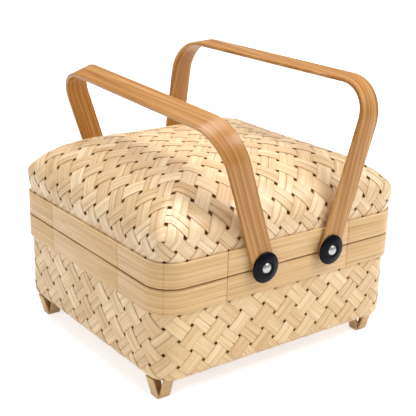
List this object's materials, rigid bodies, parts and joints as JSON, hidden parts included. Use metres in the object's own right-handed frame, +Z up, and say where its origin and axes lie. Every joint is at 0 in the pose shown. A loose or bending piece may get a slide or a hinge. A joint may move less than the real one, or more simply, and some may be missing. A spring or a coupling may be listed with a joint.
{
  "type": "sewing basket",
  "caption": "Rectangular plaited bamboo sewing basket on small feet, with a domed lift-off lid, flat rim bands and swinging bentwood handles on riveted washers.",
  "frame": {"origin": "on the table, under the middle of the basket's plan", "axes": "+X along the long sides, where the handles are riveted; -Y is the front long side; +Z up"},
  "size_m": [0.24, 0.2368, 0.2319],
  "materials": {
    "plait": "split bamboo, satin",
    "side_band": "planed bamboo, satin",
    "corner_band": "planed bamboo with darker long grain, satin",
    "inner_band": "planed bamboo, matt",
    "foot_splint": "bent bamboo splint, satin",
    "handle_strap": "carbonised bamboo, clear lacquer",
    "washer": "black, glossy",
    "rivet": "bright nickel-like steel, satin"
  },
  "bodies": {
    "basket": {"body_weave": "plait", "body_collar": "inner_band", "body_rim_front": "side_band", "body_rim_back": "side_band", "body_rim_left": "side_band", "body_rim_right": "side_band", "body_corner_front_left": "corner_band", "body_corner_front_right": "corner_band", "body_corner_back_left": "corner_band", "body_corner_back_right": "corner_band", "foot_front_left": "foot_splint", "foot_front_right": "foot_splint", "foot_back_left": "foot_splint", "foot_back_right": "foot_splint", "handle_left_washers": "washer", "handle_left_rivets": "rivet", "handle_left_burrs": "rivet", "handle_right_washers": "washer", "handle_right_rivets": "rivet", "handle_right_burrs": "rivet"},
    "lid": {"lid_weave": "plait", "lid_inner_band": "inner_band", "lid_rim_front": "side_band", "lid_rim_back": "side_band", "lid_rim_left": "side_band", "lid_rim_right": "side_band", "lid_corner_front_left": "corner_band", "lid_corner_front_right": "corner_band", "lid_corner_back_left": "corner_band", "lid_corner_back_right": "corner_band"},
    "left_handle": {"handle_left": "handle_strap"},
    "right_handle": {"handle_right": "handle_strap"}
  },
  "joints": [
    {"name": "lid_lift", "type": "slide", "parent": "basket", "child": "lid", "axis": [0, 0, 1], "range_m": [0, 0.035]},
    {"name": "left_handle_swing", "type": "hinge", "parent": "basket", "child": "left_handle", "pos_m": [-0.029, 0, 0.097], "axis": [0, -1, 0], "range_deg": [-27, 100]},
    {"name": "right_handle_swing", "type": "hinge", "parent": "basket", "child": "right_handle", "pos_m": [0.038, 0, 0.097], "axis": [0, 1, 0], "range_deg": [-18, 108]}
  ]
}
